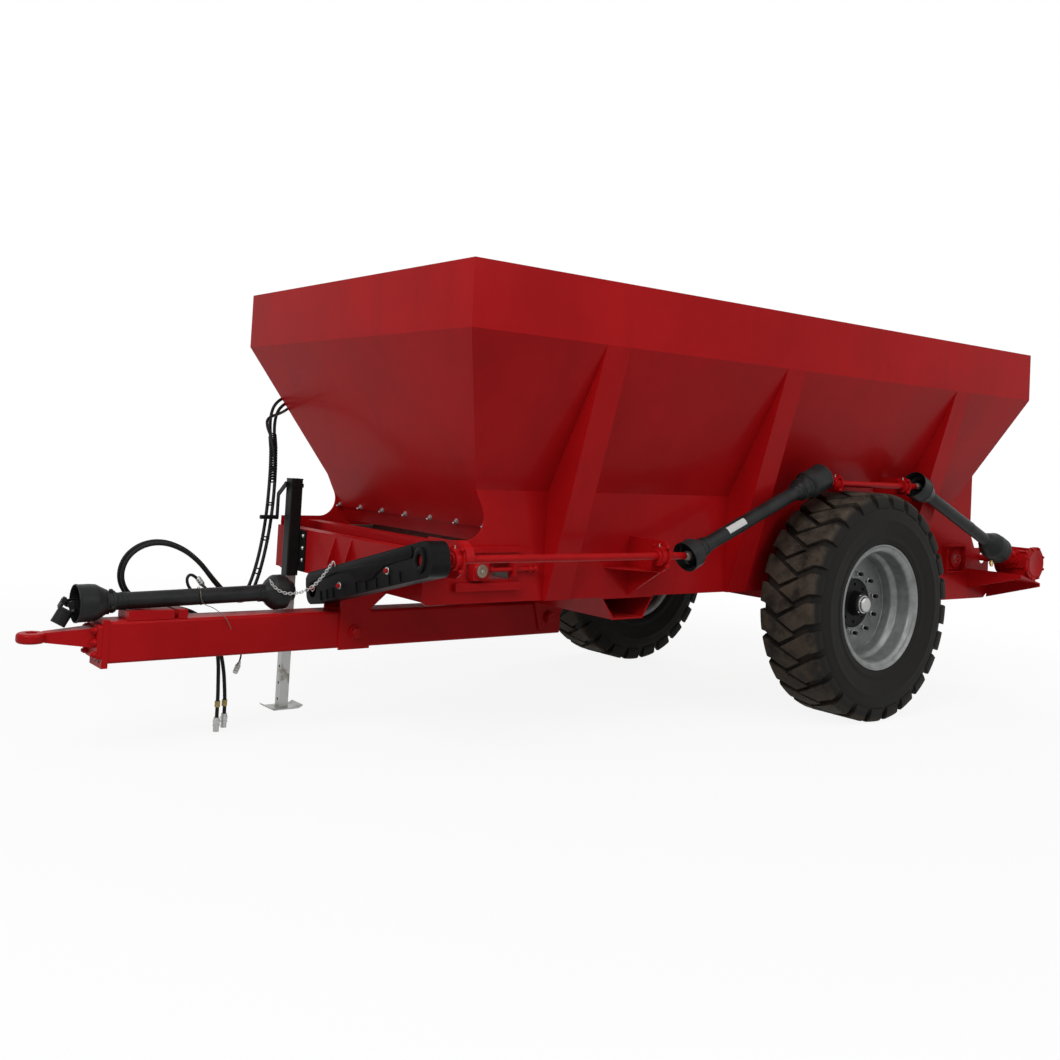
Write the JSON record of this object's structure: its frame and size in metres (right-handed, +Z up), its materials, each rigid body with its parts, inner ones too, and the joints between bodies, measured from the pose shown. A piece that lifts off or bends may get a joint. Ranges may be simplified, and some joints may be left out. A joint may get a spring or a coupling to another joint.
{
  "type": "manure spreader",
  "caption": "Trailed farm spreader: tapered open hopper, chain-and-slat floor, drawbar, side drive line, two big wheels and twin rear spreading discs.",
  "frame": {"origin": "middle of the machine's bounding box, on the ground", "axes": "+X forward to the hitch eye, +Y to the machine's left, +Z up"},
  "size_m": [6.4269, 2.33, 2.21],
  "materials": {
    "paint": "glossy red paint",
    "guard": "moulded black plastic",
    "shaft": "bright steel",
    "rim": "silver paint",
    "hub": "black paint",
    "tyre": "worn tread",
    "black": "black paint",
    "zinc": "zinc plated",
    "hose": "braided rubber hose",
    "chain": "worn steel"
  },
  "bodies": {
    "chassis": {"axle_beam": "paint", "chain_case": "guard", "disc_gearboxes": "paint", "drawbar": "paint", "floor_chains": "chain", "floor_members": "paint", "floor_plate": "paint", "floor_slats": "chain", "front_beam": "paint", "front_brackets": "paint", "front_cover": "paint", "front_flap": "paint", "front_floor_shaft": "shaft", "gate_cylinder": "paint", "gate_guides": "paint", "gearbox_platform": "paint", "hanger_member": "paint", "hitch_eye": "paint", "hopper": "paint", "hopper_ties": "paint", "hose_a": "hose", "hose_b": "hose", "hose_bulkhead": "paint", "hose_couplers": "zinc", "jack_crank": "black", "jack_tube": "black", "line_brackets": "paint", "mid_cardan_guard": "guard", "pto_guard": "guard", "pto_shaft": "black", "pto_support": "paint", "rear_beam": "paint", "rear_bearings": "paint", "rear_brackets": "paint", "rear_cardan_guard": "guard", "rear_floor_shaft": "shaft", "rear_gearbox": "paint", "ribs_left": "paint", "ribs_right": "paint", "side_plate_left": "paint", "side_plate_right": "paint", "tensioners": "paint", "upper_brackets": "paint"},
    "wheel_left": {"tyre_left": "tyre", "rim_left": "rim", "hub_left": "hub"},
    "wheel_right": {"tyre_right": "tyre", "rim_right": "rim", "hub_right": "hub"},
    "spreading_disc_left": {"disc_left": "shaft"},
    "spreading_disc_right": {"disc_right": "shaft"},
    "line_drive": {"line_shaft": "paint"},
    "mid_cardan": {"mid_cardan_shaft": "shaft"},
    "upper_drive": {"upper_shaft": "paint"},
    "rear_cardan": {"rear_cardan_shaft": "shaft"},
    "cross_drive": {"cross_shaft": "paint"},
    "rear_gate": {"gate": "paint"},
    "parking_leg": {"jack_leg": "zinc"}
  },
  "joints": [
    {"name": "wheel_left_spin", "type": "hinge", "parent": "chassis", "child": "wheel_left", "pos_m": [-1.114, 0.973, 0.6385], "axis": [0, 1, 0], "continuous": true},
    {"name": "wheel_right_spin", "type": "hinge", "parent": "chassis", "child": "wheel_right", "pos_m": [-1.114, -0.973, 0.6385], "axis": [0, 1, 0], "continuous": true},
    {"name": "disc_left_spin", "type": "hinge", "parent": "chassis", "child": "spreading_disc_left", "pos_m": [-2.876, 0.353, 0.6], "axis": [0, 0, 1], "continuous": true},
    {"name": "disc_right_spin", "type": "hinge", "parent": "chassis", "child": "spreading_disc_right", "pos_m": [-2.876, -0.353, 0.6], "axis": [0, 0, 1], "continuous": true},
    {"name": "line_shaft_spin", "type": "hinge", "parent": "chassis", "child": "line_drive", "pos_m": [0.386, 0.94531, 0.925], "axis": [1, 0, 0], "continuous": true},
    {"name": "mid_cardan_spin", "type": "hinge", "parent": "chassis", "child": "mid_cardan", "pos_m": [0.256, 0.94531, 0.925], "axis": [0.9255, 0, -0.3789], "continuous": true},
    {"name": "upper_shaft_spin", "type": "hinge", "parent": "chassis", "child": "upper_drive", "pos_m": [-1.114, 0.94531, 1.318], "axis": [1, 0, 0], "continuous": true},
    {"name": "rear_cardan_spin", "type": "hinge", "parent": "chassis", "child": "rear_cardan", "pos_m": [-1.714, 0.94531, 1.318], "axis": [0.9234, 0, 0.3837], "continuous": true},
    {"name": "cross_shaft_spin", "type": "hinge", "parent": "chassis", "child": "cross_drive", "pos_m": [-2.876, 0, 0.848], "axis": [0, 1, 0], "continuous": true},
    {"name": "gate_lift", "type": "slide", "parent": "chassis", "child": "rear_gate", "axis": [-0.315, 0, 0.9491], "range_m": [0, 0.25]},
    {"name": "jack_lift", "type": "slide", "parent": "chassis", "child": "parking_leg", "axis": [0, 0, 1], "range_m": [0, 0.3]}
  ],
  "couplings": [
    {"joint": "disc_right_spin", "follows": "disc_left_spin", "ratio": -1},
    {"joint": "line_shaft_spin", "follows": "disc_left_spin", "ratio": 1},
    {"joint": "mid_cardan_spin", "follows": "disc_left_spin", "ratio": 1},
    {"joint": "upper_shaft_spin", "follows": "disc_left_spin", "ratio": 1},
    {"joint": "rear_cardan_spin", "follows": "disc_left_spin", "ratio": 1},
    {"joint": "cross_shaft_spin", "follows": "disc_left_spin", "ratio": 1}
  ]
}
